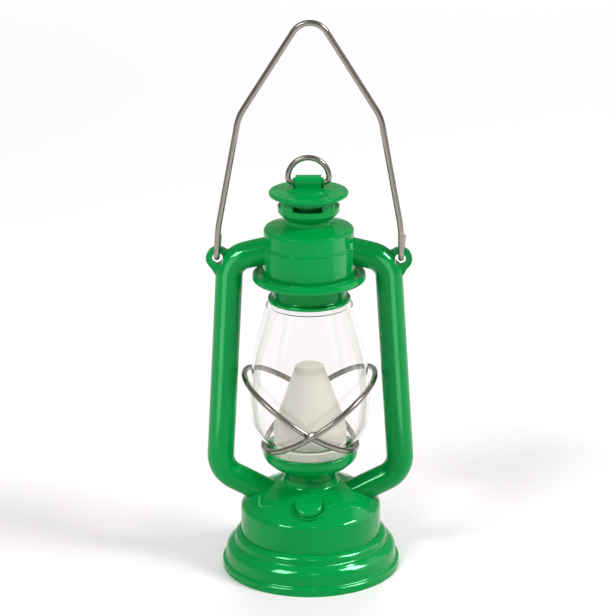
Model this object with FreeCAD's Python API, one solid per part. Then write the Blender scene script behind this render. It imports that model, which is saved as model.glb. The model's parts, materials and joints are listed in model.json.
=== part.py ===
"""Battery lantern in the shape of a small tubular oil lamp. Millimetres, +Z up, origin at the foot's centre.

A flared foot carries a round tank, a burner cup and a clear globe. Two side tubes rise from the tank to a
vented hood with a flat hat. A wire bail swings on the tubes' ears, a wire ring swings on the hat, and the
round cap on the tank's shoulder is a push button. Cells lie under the tank behind a screwed door.
Every outline below is (radius, height) or (radius, height, corner radius), from the bottom up.
"""
import FreeCAD
import Part
import math
import os

Vector = FreeCAD.Vector
ORIGIN = Vector(0, 0, 0)
X_AXIS, Y_AXIS, Z_AXIS = Vector(1, 0, 0), Vector(0, 1, 0), Vector(0, 0, 1)

# General values
WALL = 1.8                  # moulded wall of the tank, foot and hood
THIN_WALL = 1.5             # wall of the globe, collar, cup and crown
FIT = 0.15                  # gap all round where one moulding passes through another
SEAT = 0.05                 # gap where two round faces rest on each other
RUN = 0.08                  # radial gap of a pin that turns in its hole

# Foot and tank
FOOT_R = 38.1
LIP_H = 3.2                 # upright edge at the bottom of the foot
FOOT_H = 15.6               # height of the shelf that the tank stands on
TANK_R = 30.0
SHOULDER_Z = 27.6           # where the tank's upright wall ends
SHOULDER_ROUND = 3.0
DOME_R, DOME_Z = 16.4, 36.5     # where the dome ends and the neck's flare begins
DOME_RISE = 1.8             # how far the dome's middle stands outside the straight cone
NECK_R, NECK_Z = 11.7, 40.4

# Burner cup, globe and diffuser
CUP_R, CUP_Z = 20.3, 53.0       # outside of the cup's rim
CUP_FLOOR_Z = 47.2
GLOBE_FOOT_Z = 49.8             # the globe's lower edge, on the cup's ledge
GLOBE_FOOT_R = 17.9
GLOBE_BELLY_R, GLOBE_BELLY_Z = 25.7, 77.0
GLOBE_TOP_R, GLOBE_TOP_Z = 18.2, 117.8
GLOBE_NECK_R, GLOBE_NECK_H = 13.6, 5.6
DIFFUSER_TOP_R, DIFFUSER_TOP_Z = 5.8, 91.0
DIFFUSER_FOOT_R = 15.6
DIFFUSER_SLOPE = 19.0           # half angle of the cone
DIFFUSER_WALL = 1.3
DIFFUSER_GROOVE = 0.8           # height of the groove between the cone and the ring that it stands on
PLUG_L = 2.5                    # how far the cone's plug reaches into that ring
RIM_R, RIM_TOP_Z = 15.8, 56.2   # the reflector's raised ring
REFLECTOR_T = 1.2
BOARD_R, BOARD_T = 10.0, 1.6
LED_R, LED_H, LED_RIM_R = 2.5, 8.6, 2.9

# Side tubes, (x, z) in the plane of the tubes
TUBE_R, TUBE_WALL = 5.75, 1.6
ARM_ROOT_X, ARM_ROOT_Z = 7.0, 142.1     # inner end, inside the hood
ARM_BREAK_X = 16.3
ARM_INNER_SLOPE, ARM_OUTER_SLOPE = 4.1, 15.2
ARCH_BEND, ELBOW_BEND, KNEE_BEND = 85.0, 9.3, 11.0
LEG_X, LEG_Z, LEG_TAPER = 33.6, 127.9, 3.44     # a point on the leg's axis, and its lean outwards
FOOT_ARM_X, FOOT_ARM_Z, FOOT_ARM_SLOPE = 28.2, 37.2, 27.5   # a point on the lower arm's axis
FOOT_ARM_END_X = 15.5
EAR_X, EAR_Z, EAR_R, EAR_T = 38.1, 137.5, 5.0, 2.2
EAR_HOLE_R = 2.35

# Hood, crown and hat
COLLAR_R, COLLAR_FLANGE_R, COLLAR_FLANGE_T = 15.6, 17.4, 1.4
BRIM_R, BRIM_Z, BRIM_T = 24.0, 128.3, 2.0
LIP_RISE, LIP_T = 3.2, 1.6              # the brim's turned-up edge
HOOD_R, HOOD_SPLIT_Z = 19.4, 143.4
UPPER_R, UPPER_TOP_Z, UPPER_ROUND = 18.9, 150.9, 1.6
CROWN_NECK_R, CROWN_NECK_Z = 10.1, 153.2
DRUM_R, DRUM_Z, DRUM_TOP_Z, CONE_H = 12.9, 158.1, 164.6, 2.9
SLOT_COUNT, SLOT_ANGLE, SLOT_Z, SLOT_H = 4, 58.0, 160.5, 2.5
HAT_R, HAT_EDGE_T, HAT_BOSS_R, HAT_BOSS_Z = 16.6, 2.2, 9.0, 168.2
LUG_X, LUG_Y, LUG_TOP_Z = 5.3, 3.0, 173.2       # half width, half depth, top
LUG_CHEEK_X, LUG_CHEEK_R = 6.3, 2.0

# Wires
BAIL_WIRE, RING_WIRE, GUARD_WIRE = 2.5, 2.3, 2.4
HOOK_GAP = 0.38             # between the bail's hook and the corners of the ear's bridge
BAIL_SHIN_X, BAIL_SHIN_Z, BAIL_SHIN_BEND = 37.9, 151.5, 40.0    # slight bend above each ear
BAIL_KNEE_X, BAIL_KNEE_Z, BAIL_KNEE_BEND = 28.7, 199.0, 20.0
BAIL_KNEE_SKEW = 0.9        # the left knee stands this much further out
BAIL_APEX_Z, BAIL_APEX_BEND = 245.3, 8.0
BAIL_LEAN = 1.2             # the hand-bent top sits this far to the right
BAIL_TAIL, TAIL_LEAN = 5.4, 5.0
BAIL_OUTSET = 0.35          # the hooks sit this far outside the holes' centres
RING_R, RING_CENTRE_Z, RING_PIN_Z, RING_CORNER = 8.5, 172.4, 170.4, 2.0
RING_PIN_END_X = 3.6
GUARD_R, GUARD_TILT, GUARD_OFFSET, GUARD_Z = 28.7, 34.0, 3.9, 70.4
GUARD_SQUEEZE = 0.7         # the inner hoop is this much narrower front to back
GUARD_NOD = 1.5             # and leans back by this many degrees
GUARD_SPREAD = 2.0          # the outer hoop is this much longer front to back

# Push button and switch, along an axis that leans forward from upright
BUTTON_R, BUTTON_H, BUTTON_TILT = 5.8, 3.0, 28.0
BUTTON_Y, BUTTON_Z = -22.2, 34.1        # where the button's axis meets the tank's skin
BUTTON_TRAVEL = 1.5
BUTTON_CROWN = 0.25          # how far the middle of the button stands above its shoulder
STEM_R, STEM_L = 2.4, 4.2
SWITCH_W, SWITCH_H, PLUNGER_R, PLUNGER_H = 8.0, 7.0, 1.6, 3.4
BRACKET_W, BRACKET_D, BRACKET_T = 18.6, 9.0, 1.5

# Base plate, battery box, cells and screws
PLATE_R, PLATE_Z, PLATE_T = FOOT_R - 2.2, 1.0, 1.8
CELL_R, CELL_L, CELL_PITCH, CELL_COUNT = 5.25, 44.5, 10.9, 3
CELL_NUB_R, CELL_NUB_H = 1.9, 0.8
SPRING_SPACE = 4.0          # room for the contact springs at one end
CONTACT_W, CONTACT_H, CONTACT_T = 7.0, 8.4, 0.4
BOX_WALL = 1.2
DOOR_T, DOOR_GAP = 1.8, 0.2
TONGUE_W = 8.0
SCREW_R, SCREW_HEAD_R, SCREW_HEAD_H, BOSS_R = 1.1, 2.2, 1.4, 2.6
BASE_SCREW_X, BASE_SCREW_Y = 14.5, 20.0
BASE_BOSS_TOP_Z = 24.0
HOOD_SCREW_Y = 10.3
HOOD_SCREW_L = 14.0
BRACKET_SCREW_L = 5.0
HEAD_SINK = 1.6             # depth that the base screws' heads sink into the plate
WIRE_R = 0.6


def corner(before, here, after, radius, share_before, share_after):
    """Tangent points and middle of the arc that rounds one corner, or None for a sharp one."""
    back, ahead = before - here, after - here
    room = min(back.Length * share_before, ahead.Length * share_after)
    back.normalize()
    ahead.normalize()
    half = back.getAngle(ahead) / 2
    if radius <= 0 or abs(math.pi / 2 - half) < 1e-6:
        return None
    reach = min(radius / math.tan(half), room)
    bisector = (back + ahead).normalize()
    radius = reach * math.tan(half)
    middle = here + bisector * (radius / math.sin(half) - radius)
    return here + back * reach, middle, here + ahead * reach


def outline(points):
    """Closed face in the XZ plane through (x, z) or (x, z, corner radius)."""
    spots = [Vector(p[0], 0, p[1]) for p in points]
    radii = [p[2] if len(p) > 2 else 0 for p in points]
    count = len(spots)
    ends = []
    for i in range(count):
        before, after = (i - 1) % count, (i + 1) % count
        shares = [0.98 if radii[j] == 0 else 0.49 for j in (before, after)]
        ends.append(corner(spots[before], spots[i], spots[after], radii[i], *shares))
    edges = []
    for i in range(count):
        here, following = ends[i], ends[(i + 1) % count]
        if here:
            edges.append(Part.Arc(*here).toShape())
        start = here[2] if here else spots[i]
        stop = following[0] if following else spots[(i + 1) % count]
        if start.distanceToPoint(stop) > 1e-7:
            edges.append(Part.LineSegment(start, stop).toShape())
    return Part.Face(Part.Wire(edges))


def lathe(points):
    """Solid turned about Z from a closed (radius, height) outline."""
    return outline(points).revolve(ORIGIN, Z_AXIS, 360)


def inset(points, wall):
    """An open outline moved by the wall towards the axis side, with its corner radii kept concentric."""
    spots = [Vector(p[0], p[1], 0) for p in points]
    runs = [(b - a).normalize() for a, b in zip(spots, spots[1:])]
    sides = [Vector(-d.y, d.x, 0) for d in runs]
    moved = []
    for i, spot in enumerate(spots):
        first, second = sides[max(i - 1, 0)], sides[min(i, len(sides) - 1)]
        shift = (first + second) * (wall / (1 + first.dot(second)))
        radius = points[i][2] if len(points[i]) > 2 else 0
        if radius and 0 < i < len(spots) - 1:
            turn = runs[i - 1].cross(runs[i]).z
            radius = max(radius - wall, 0) if turn > 0 else radius + wall
        moved.append((spot.x + shift.x, spot.y + shift.y, radius))
    return moved


def shell(points, wall):
    """Turned shell whose outside follows the open outline, from the bottom up."""
    return lathe(list(points) + inset(points, wall)[::-1])


def cylinder(radius, height, x=0, y=0, z=0, axis=Z_AXIS):
    return Part.makeCylinder(radius, height, Vector(x, y, z), axis)


def block(x0, x1, y0, y1, z0, z1):
    return Part.makeBox(x1 - x0, y1 - y0, z1 - z0, Vector(x0, y0, z0))


def fuse(shapes):
    shapes = list(shapes)
    return shapes[0].multiFuse(shapes[1:]).removeSplitter() if len(shapes) > 1 else shapes[0]


def mirrored_x(shape):
    return shape.mirror(ORIGIN, X_AXIS)


def swept(section, points, bends):
    """A planar section, placed at the first point, carried along straight runs joined by tangent arcs."""
    pieces = []
    here = points[0]
    for i in range(1, len(points)):
        run = (points[i] - points[i - 1]).normalize()
        if i == len(points) - 1:
            pieces.append(section.extrude(points[i] - here))
            break
        ahead = (points[i + 1] - points[i]).normalize()
        turn = run.getAngle(ahead)
        reach = bends[i - 1] * math.tan(turn / 2)
        stop = points[i] - run * reach
        pieces.append(section.extrude(stop - here))
        section = section.translated(stop - here)
        hinge = run.cross(ahead).normalize()
        centre = stop + hinge.cross(run) * bends[i - 1]
        pieces.append(section.revolve(centre, hinge, math.degrees(turn)))
        section = section.rotated(centre, hinge, math.degrees(turn))
        here = points[i] + ahead * reach
    return fuse(pieces)


def rod(diameter, points, bends):
    """Round wire along the points."""
    disc = Part.Face(Part.Wire(Part.makeCircle(diameter / 2, points[0], points[1] - points[0])))
    return swept(disc, points, bends)


# ---- foot, tank and cup -------------------------------------------------------------------------

def foot_outline():
    return [
        (FOOT_R, 0), (FOOT_R, LIP_H, 0.9), (FOOT_R - 1.3, LIP_H + 0.5, 0.7),
        (FOOT_R - 1.9, LIP_H + 6.1, 3.8), (FOOT_R - 4.3, LIP_H + 8.1, 0.8), (FOOT_R - 5.2, LIP_H + 8.4, 0.6),
        (FOOT_R - 5.8, FOOT_H - 1.2, 1.6),
        (TANK_R + 0.6, FOOT_H), (TANK_R - WALL - 0.8, FOOT_H),
    ]


def foot_skirt():
    """Flared foot with an inner shelf for the tank and a step that the base plate presses on."""
    skin = shell(foot_outline(), WALL)
    plate_room = cylinder(PLATE_R + FIT, PLATE_Z + PLATE_T, z=0)
    ledge = lathe([(PLATE_R - 1.6, PLATE_Z + PLATE_T), (FOOT_R - WALL, PLATE_Z + PLATE_T),
                   (FOOT_R - WALL, LIP_H + 1.5), (PLATE_R - 1.6, LIP_H + 1.5)])
    return fuse([skin, ledge]).cut(plate_room)


def tank_outline():
    slope = math.atan2(DOME_Z - SHOULDER_Z, TANK_R - DOME_R)
    middle_r = (TANK_R + DOME_R) / 2 + DOME_RISE * math.sin(slope)
    middle_z = (SHOULDER_Z + DOME_Z) / 2 + DOME_RISE * math.cos(slope)
    return [
        (TANK_R, FOOT_H), (TANK_R, SHOULDER_Z, SHOULDER_ROUND), (middle_r, middle_z, 24.0),
        (DOME_R, DOME_Z, 3.0), (NECK_R + 0.5, DOME_Z + 0.9, 1.6), (NECK_R, NECK_Z),
    ]


def button_frame():
    """Placement whose Z runs out along the button, with its origin on the tank's skin."""
    turn = FreeCAD.Rotation(X_AXIS, BUTTON_TILT)
    return FreeCAD.Placement(Vector(0, BUTTON_Y, BUTTON_Z), turn)


def on_button(shape):
    placed = shape.copy()
    placed.Placement = button_frame().multiply(placed.Placement)
    return placed


def switch_top():
    """Height of the switch's top face along the button's axis."""
    return -STEM_L - PLUNGER_H


def base_screw_spots():
    return [(side * BASE_SCREW_X, end * BASE_SCREW_Y) for side in (-1, 1) for end in (-1, 1)]


def bracket_screw_spots():
    return [side * (BRACKET_W / 2 - BOSS_R) for side in (-1, 1)]


def tank_bosses():
    """Pillars that the base screws and the bracket screws bite into, trimmed to the tank's inside."""
    pillars = [cylinder(BOSS_R, DOME_Z, x, y, FOOT_H + SEAT) for x, y in base_screw_spots()]
    posts = [on_button(cylinder(BOSS_R - 0.3, DOME_Z, x, 0, switch_top())) for x in bracket_screw_spots()]
    inside = inset(tank_outline()[:4], WALL * 0.6)
    cavity = lathe([(0, FOOT_H)] + inside + [(0, inside[-1][1])])
    return fuse(pillars + posts).common(cavity)


def fuel_tank():
    """Round tank shell: a domed top, a neck for the cup, and holes for the lower arms and the button."""
    skin = shell(tank_outline(), WALL)
    seat = on_button(cylinder(BUTTON_R + 0.9, 0.9, z=-0.9))
    body = fuse([skin, seat, tank_bosses()])
    pilots = [cylinder(SCREW_R, BASE_BOSS_TOP_Z - FOOT_H, x, y, FOOT_H) for x, y in base_screw_spots()]
    posts = [on_button(cylinder(SCREW_R, BRACKET_SCREW_L, x, 0, switch_top())) for x in bracket_screw_spots()]
    well = on_button(cylinder(BUTTON_R + FIT, 10, z=-BUTTON_TRAVEL - 0.2))
    stem_hole = on_button(cylinder(STEM_R + FIT, 12, z=-6))
    arms = [arm_envelope(side) for side in (-1, 1)]
    return body.cut(fuse(pilots + posts + [well, stem_hole])).cut(Part.makeCompound(arms))


def burner_cup():
    """Cup that the globe stands in, with a neck that plugs into the tank."""
    spigot_r = NECK_R - WALL - FIT
    outside = [
        (spigot_r, NECK_Z - 6), (spigot_r, NECK_Z), (NECK_R - 0.2, NECK_Z), (NECK_R - 0.2, NECK_Z + 2.9, 0.8),
        (CUP_R - 3.8, CUP_FLOOR_Z - 1.3, 6.0), (CUP_R - 0.2, CUP_Z - 3.9, 4.0), (CUP_R, CUP_Z, 0.6),
    ]
    ledge_r = GLOBE_FOOT_R - THIN_WALL - 0.4
    inside = [
        (GLOBE_FOOT_R + 0.25, CUP_Z, 0.4), (GLOBE_FOOT_R + 0.25, GLOBE_FOOT_Z), (ledge_r, GLOBE_FOOT_Z),
        (ledge_r, CUP_FLOOR_Z + WALL), (BOARD_R + FIT, CUP_FLOOR_Z + WALL), (BOARD_R + FIT, CUP_FLOOR_Z),
        (spigot_r - THIN_WALL, CUP_FLOOR_Z - 1.2), (spigot_r - THIN_WALL, NECK_Z - 6),
    ]
    return lathe(outside + inside)


# ---- globe, diffuser and lamp -------------------------------------------------------------------

def globe():
    """Clear blown-shape globe: foot, belly and long shoulder, with a short neck for the collar."""
    outside = [
        (GLOBE_FOOT_R, GLOBE_FOOT_Z + SEAT), (GLOBE_FOOT_R, CUP_Z + 1.4, 4.0),
        (GLOBE_BELLY_R - 0.7, GLOBE_BELLY_Z - 14.0, 14.0), (GLOBE_BELLY_R, GLOBE_BELLY_Z, 40.0),
        (GLOBE_BELLY_R - 1.5, GLOBE_BELLY_Z + 17.0, 60.0), (GLOBE_TOP_R, GLOBE_TOP_Z, 1.2),
        (GLOBE_NECK_R, GLOBE_TOP_Z + 1.5, 0.6), (GLOBE_NECK_R, GLOBE_TOP_Z + 1.5 + GLOBE_NECK_H),
    ]
    return shell(outside, THIN_WALL)


def flame_diffuser():
    """Hollow frosted cone with a rounded top, an upright foot and a plug that sits in the reflector's ring."""
    foot_z = RIM_TOP_Z + DIFFUSER_GROOVE
    plug_r = RIM_R - THIN_WALL - FIT
    cone_z = DIFFUSER_TOP_Z - (DIFFUSER_FOOT_R - DIFFUSER_TOP_R) / math.tan(math.radians(DIFFUSER_SLOPE))
    plug = [
        (plug_r, RIM_TOP_Z - PLUG_L), (plug_r, RIM_TOP_Z + SEAT), (DIFFUSER_FOOT_R - 0.9, RIM_TOP_Z + SEAT),
        (DIFFUSER_FOOT_R - 0.9, foot_z),
    ]
    cone = [
        (DIFFUSER_FOOT_R, foot_z, 0.3), (DIFFUSER_FOOT_R, cone_z, 5.0),
        (DIFFUSER_TOP_R, DIFFUSER_TOP_Z - 0.6, 1.6), (0, DIFFUSER_TOP_Z),
    ]
    inner = inset(cone, DIFFUSER_WALL)
    inner[0] = (DIFFUSER_FOOT_R - DIFFUSER_WALL, foot_z + DIFFUSER_WALL)
    inner[-1] = (0, DIFFUSER_TOP_Z - DIFFUSER_WALL)
    bore = [(plug_r - DIFFUSER_WALL, foot_z + 0.2), (plug_r - DIFFUSER_WALL, RIM_TOP_Z - PLUG_L)]
    return lathe(plug + cone + inner[::-1] + bore)


def reflector_plate():
    """White ring that hides the board, with a raised rim that the diffuser stands on."""
    z = CUP_FLOOR_Z + WALL
    top = z + REFLECTOR_T
    return lathe([(LED_RIM_R + 0.3, z), (RIM_R, z), (RIM_R, RIM_TOP_Z, 0.4), (RIM_R - THIN_WALL, RIM_TOP_Z),
                  (RIM_R - THIN_WALL, top), (LED_RIM_R + 0.3, top)])


def led_board():
    board = cylinder(BOARD_R, BOARD_T, z=CUP_FLOOR_Z + SEAT)
    holes = [cylinder(0.45, BOARD_T + 1, side * 1.27, 0, CUP_FLOOR_Z - 0.5) for side in (-1, 1)]
    return board.cut(Part.makeCompound(holes))


def led_lamp():
    """Five millimetre lamp: rimmed body with a domed lens."""
    z = CUP_FLOOR_Z + SEAT + BOARD_T
    return lathe([(0, z), (LED_RIM_R, z), (LED_RIM_R, z + 1), (LED_R, z + 1),
                  (LED_R, z + LED_H, LED_R), (0, z + LED_H)])


def led_leads():
    """The lamp's two legs through the board."""
    z = CUP_FLOOR_Z + SEAT - 2.4
    return Part.makeCompound([cylinder(0.3, 2.4 + BOARD_T, side * 1.27, 0, z) for side in (-1, 1)])


def oval_ring(half_length, half_width, wire):
    """Closed wire oval in the XY plane: end arcs and side arcs that meet at 45 degrees."""
    shift = (half_length - half_width) / (2 - math.sqrt(2))
    end_r, side_r = half_length - shift, half_width + shift
    if shift < 1e-6:
        return Part.makeTorus(half_length, wire / 2)
    pieces = []
    for radius, centre_x, centre_y, start in ((end_r, shift, 0, -45), (side_r, 0, -shift, 45),
                                              (end_r, -shift, 0, 135), (side_r, 0, shift, 225)):
        arc = Part.makeTorus(radius, wire / 2, Vector(0, 0, 0), Z_AXIS, 0, 360, 90)
        pieces.append(arc.rotated(ORIGIN, Z_AXIS, start).translated(Vector(centre_x, centre_y, 0)))
    return fuse(pieces)


def guard_hoop(side):
    """Closed wire hoop about the globe: low on one side of the cup's rim, high on the other side."""
    inner = side < 0
    width = GUARD_R - GUARD_SQUEEZE if inner else GUARD_R + GUARD_SPREAD
    hoop = oval_ring(max(GUARD_R, width), min(GUARD_R, width), GUARD_WIRE)
    if width > GUARD_R:
        hoop = hoop.rotated(ORIGIN, Z_AXIS, 90)
    if inner:
        hoop = hoop.rotated(ORIGIN, X_AXIS, -GUARD_NOD)
    hoop = hoop.rotated(ORIGIN, Y_AXIS, -side * GUARD_TILT)
    return hoop.translated(Vector(side * GUARD_OFFSET, 0, GUARD_Z))


# ---- side tubes ---------------------------------------------------------------------------------

def meet(x0, z0, slope0, x1, z1, slope1):
    """Where two lines in the XZ plane cross; each is a point and dz/dx."""
    x = (z1 - z0 + slope0 * x0 - slope1 * x1) / (slope0 - slope1)
    return x, z0 + slope0 * (x - x0)


def tube_path():
    """Corners of the right tube's axis, from the hood down to the tank."""
    inner, outer = -math.tan(math.radians(ARM_INNER_SLOPE)), -math.tan(math.radians(ARM_OUTER_SLOPE))
    leg = -1 / math.tan(math.radians(LEG_TAPER))
    lower = math.tan(math.radians(FOOT_ARM_SLOPE))
    break_z = ARM_ROOT_Z + inner * (ARM_BREAK_X - ARM_ROOT_X)
    elbow = meet(ARM_BREAK_X, break_z, outer, LEG_X, LEG_Z, leg)
    knee = meet(LEG_X, LEG_Z, leg, FOOT_ARM_X, FOOT_ARM_Z, lower)
    end = (FOOT_ARM_END_X, FOOT_ARM_Z + lower * (FOOT_ARM_END_X - FOOT_ARM_X))
    spots = [(ARM_ROOT_X, ARM_ROOT_Z), (ARM_BREAK_X, break_z), elbow, knee, end]
    return [Vector(x, 0, z) for x, z in spots]


TUBE_BENDS = [ARCH_BEND, ELBOW_BEND, KNEE_BEND]


def arm_envelope(side):
    """The tube with its fitting gap, for cutting the hood and the tank."""
    tube = rod(2 * (TUBE_R + FIT), tube_path(), TUBE_BENDS)
    return tube if side > 0 else mirrored_x(tube)


def lengthened(path, extra):
    """The same path with both ends carried on by a little."""
    first = (path[0] - path[1]).normalize()
    last = (path[-1] - path[-2]).normalize()
    return [path[0] + first * extra] + path[1:-1] + [path[-1] + last * extra]


def ear_plate():
    """Flat ear with a web that joins it to the tube's elbow, on the right side."""
    disc = cylinder(EAR_R, EAR_T, EAR_X, EAR_T / 2, EAR_Z, Vector(0, -1, 0))
    web = outline([
        (EAR_X + EAR_R * 0.62, EAR_Z - EAR_R * 0.78), (EAR_X + 1.0, EAR_Z - EAR_R * 1.5, 2.5),
        (LEG_X + 3.6, LEG_Z + 0.5),
        (LEG_X - 3.6, EAR_Z - 1.0), (EAR_X - EAR_R * 1.15, EAR_Z + 2.6),
        (EAR_X - EAR_R * 0.75, EAR_Z + 3.7, 2.0),
        (EAR_X - EAR_R * 0.3, EAR_Z + EAR_R * 0.954),
    ])
    web = web.extrude(Vector(0, EAR_T, 0)).translated(Vector(0, -EAR_T / 2, 0))
    return disc.fuse(web)


def side_tube(side, back):
    """Front or back half shell of one side tube, with its half of the bail ear."""
    path = tube_path()
    tube = rod(2 * TUBE_R, path, TUBE_BENDS)
    hollow = rod(2 * (TUBE_R - TUBE_WALL), lengthened(path, 1.0), TUBE_BENDS)
    hole = cylinder(EAR_HOLE_R, 4 * EAR_T, EAR_X, 2 * EAR_T, EAR_Z, Vector(0, -1, 0))
    reach = EAR_X + 4 * EAR_R
    half_space = block(0, reach, 0, reach, 0, 2 * EAR_Z) if back else block(0, reach, -reach, 0, 0, 2 * EAR_Z)
    half = tube.fuse(ear_plate()).cut(hollow).cut(hole).common(half_space).removeSplitter()
    return half if side > 0 else mirrored_x(half)


# ---- hood, crown and hat ------------------------------------------------------------------------

def hood_screw_spots():
    return [(0, end * HOOD_SCREW_Y) for end in (-1, 1)]


def hood_lower():
    """Lower hood with a dished brim and a floor; the arms pass through notches in its top edge."""
    floor_z = BRIM_Z + BRIM_T
    lip_z = BRIM_Z + LIP_RISE
    outside = [
        (COLLAR_R - 5, BRIM_Z), (BRIM_R - 0.8, BRIM_Z, 1.0), (BRIM_R, BRIM_Z + 1.0, 1.2),
        (BRIM_R - 0.5, lip_z, 0.7), (BRIM_R - LIP_T, lip_z, 0.7), (BRIM_R - LIP_T - 0.3, floor_z, 1.0),
        (HOOD_R, floor_z, 1.8), (HOOD_R, HOOD_SPLIT_Z, 0.6), (HOOD_R - WALL, HOOD_SPLIT_Z),
        (HOOD_R - WALL, floor_z, 1.0), (COLLAR_R - 5, floor_z),
    ]
    body = lathe(outside)
    lands = [cylinder(BOSS_R, 1.2, x, y, BRIM_Z + BRIM_T - 0.2) for x, y in hood_screw_spots()]
    body = fuse([body] + lands).cut(Part.makeCompound(
        [cylinder(SCREW_R + FIT, 6, x, y, BRIM_Z - 1) for x, y in hood_screw_spots()]))
    return body.cut(Part.makeCompound([arm_envelope(side) for side in (-1, 1)]))


def hood_upper():
    """Upper hood: closes the hood over the arms, and carries the crown and the screw bosses."""
    outside = [
        (HOOD_R - 0.1, HOOD_SPLIT_Z), (HOOD_R - 0.1, HOOD_SPLIT_Z + 0.5, 0.3),
        (UPPER_R, HOOD_SPLIT_Z + 0.8, 0.3),
        (UPPER_R, UPPER_TOP_Z, UPPER_ROUND), (CROWN_NECK_R, CROWN_NECK_Z), (CROWN_NECK_R - 2.4, CROWN_NECK_Z),
        (CROWN_NECK_R - 2.4, CROWN_NECK_Z - WALL), (UPPER_R - WALL - 1.0, UPPER_TOP_Z - WALL, 1.0),
        (UPPER_R - WALL, UPPER_TOP_Z - WALL - 1.2), (UPPER_R - WALL, HOOD_SPLIT_Z),
    ]
    boss_z = BRIM_Z + BRIM_T + 1.0 + SEAT
    bosses = [cylinder(BOSS_R, UPPER_TOP_Z + 0.4 - boss_z, x, y, boss_z) for x, y in hood_screw_spots()]
    body = fuse([lathe(outside)] + bosses)
    pilots = [cylinder(SCREW_R, HOOD_SCREW_L, x, y, boss_z) for x, y in hood_screw_spots()]
    body = body.cut(Part.makeCompound(pilots))
    return body.cut(Part.makeCompound([arm_envelope(side) for side in (-1, 1)]))


def vent_crown():
    """Slotted drum on a short neck, with a spigot into the upper hood."""
    spigot_r = CROWN_NECK_R - 2.4 - FIT
    outside = [
        (spigot_r, CROWN_NECK_Z - WALL - 1.5), (spigot_r, CROWN_NECK_Z), (CROWN_NECK_R - 0.1, CROWN_NECK_Z),
        (CROWN_NECK_R - 0.1, DRUM_Z - CONE_H, 0.5), (DRUM_R, DRUM_Z, 0.6), (DRUM_R, DRUM_TOP_Z),
    ]
    inside = [
        (DRUM_R - THIN_WALL, DRUM_TOP_Z), (DRUM_R - THIN_WALL, DRUM_Z, 0.8),
        (CROWN_NECK_R - THIN_WALL - 1.4, DRUM_Z - CONE_H + 0.4), (spigot_r - THIN_WALL, CROWN_NECK_Z),
        (spigot_r - THIN_WALL, CROWN_NECK_Z - WALL - 1.5),
    ]
    body = lathe(outside + inside)
    slots = []
    for i in range(SLOT_COUNT):
        middle = -90 + i * 360 / SLOT_COUNT
        section = outline([(DRUM_R - 3.2, SLOT_Z), (DRUM_R + 2, SLOT_Z), (DRUM_R + 2, SLOT_Z + SLOT_H),
                           (DRUM_R - 3.2, SLOT_Z + SLOT_H)])
        section = section.rotated(ORIGIN, Z_AXIS, middle - SLOT_ANGLE / 2)
        slots.append(section.revolve(ORIGIN, Z_AXIS, SLOT_ANGLE))
    return body.cut(Part.makeCompound(slots))


def hat_cap():
    """Round hat with a lug whose cheeks hold the lift ring's pins, and a rim that plugs into the drum."""
    under_r = DRUM_R - THIN_WALL - FIT
    body = lathe([
        (0, DRUM_TOP_Z), (under_r - THIN_WALL, DRUM_TOP_Z), (under_r - THIN_WALL, DRUM_TOP_Z - 1.4),
        (under_r, DRUM_TOP_Z - 1.4), (under_r, DRUM_TOP_Z), (DRUM_R + 0.6, DRUM_TOP_Z),
        (HAT_R, DRUM_TOP_Z + 0.4, 0.9), (HAT_R, DRUM_TOP_Z + HAT_EDGE_T, 0.9),
        (HAT_BOSS_R + 0.6, HAT_BOSS_Z - 0.9, 1.0),
        (HAT_BOSS_R, HAT_BOSS_Z, 0.4), (0, HAT_BOSS_Z + 0.5),
    ])
    cheek = cylinder(LUG_CHEEK_R, 2 * LUG_CHEEK_X, -LUG_CHEEK_X, 0, RING_PIN_Z, X_AXIS)
    foot = block(-LUG_X, LUG_X, -LUG_Y, LUG_Y, HAT_BOSS_Z - 1, LUG_TOP_Z)
    top_edges = [e for e in foot.Edges if e.BoundBox.ZMin > LUG_TOP_Z - 0.01 and e.BoundBox.XLength > 1]
    foot = foot.makeFillet(LUG_Y * 0.6, top_edges)
    start, depth = RING_PIN_END_X - 0.3, LUG_CHEEK_X - RING_PIN_END_X + 1.3
    bore = RING_WIRE / 2 + RUN
    holes = [cylinder(bore, depth, side * start, 0, RING_PIN_Z, X_AXIS * side) for side in (-1, 1)]
    return fuse([body, foot, cheek]).cut(Part.makeCompound(holes))


def globe_collar():
    """Collar that holds the globe's neck, with a flange that rests on the globe's shoulder."""
    bottom = GLOBE_TOP_Z + 1.5 + SEAT
    bore = GLOBE_NECK_R + FIT
    body = lathe([
        (bore, bottom + 0.9), (bore + 0.9, bottom), (COLLAR_FLANGE_R, bottom, 0.5),
        (COLLAR_FLANGE_R, bottom + COLLAR_FLANGE_T, 0.5),
        (COLLAR_R, bottom + COLLAR_FLANGE_T + 0.2, 0.8), (COLLAR_R, BRIM_Z), (COLLAR_R - 8, BRIM_Z),
        (COLLAR_R - 8, BRIM_Z - THIN_WALL), (bore, BRIM_Z - THIN_WALL),
    ])
    holes = [cylinder(SCREW_R + FIT, 6, x, y, BRIM_Z - 4) for x, y in hood_screw_spots()]
    return body.cut(Part.makeCompound(holes))


# ---- wires that move ----------------------------------------------------------------------------

def bridge_z():
    """Middle of the ear's bridge, between the hole and the top edge: the axis that the bail swings on."""
    return EAR_Z + (EAR_HOLE_R + EAR_R) / 2


def hook_radius():
    """Axis radius of the bail's hook, so that it clears the bridge's corners all the way round."""
    half_height = (EAR_R - EAR_HOLE_R) / 2
    return math.hypot(half_height, EAR_T / 2) + HOOK_GAP + BAIL_WIRE / 2


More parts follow.
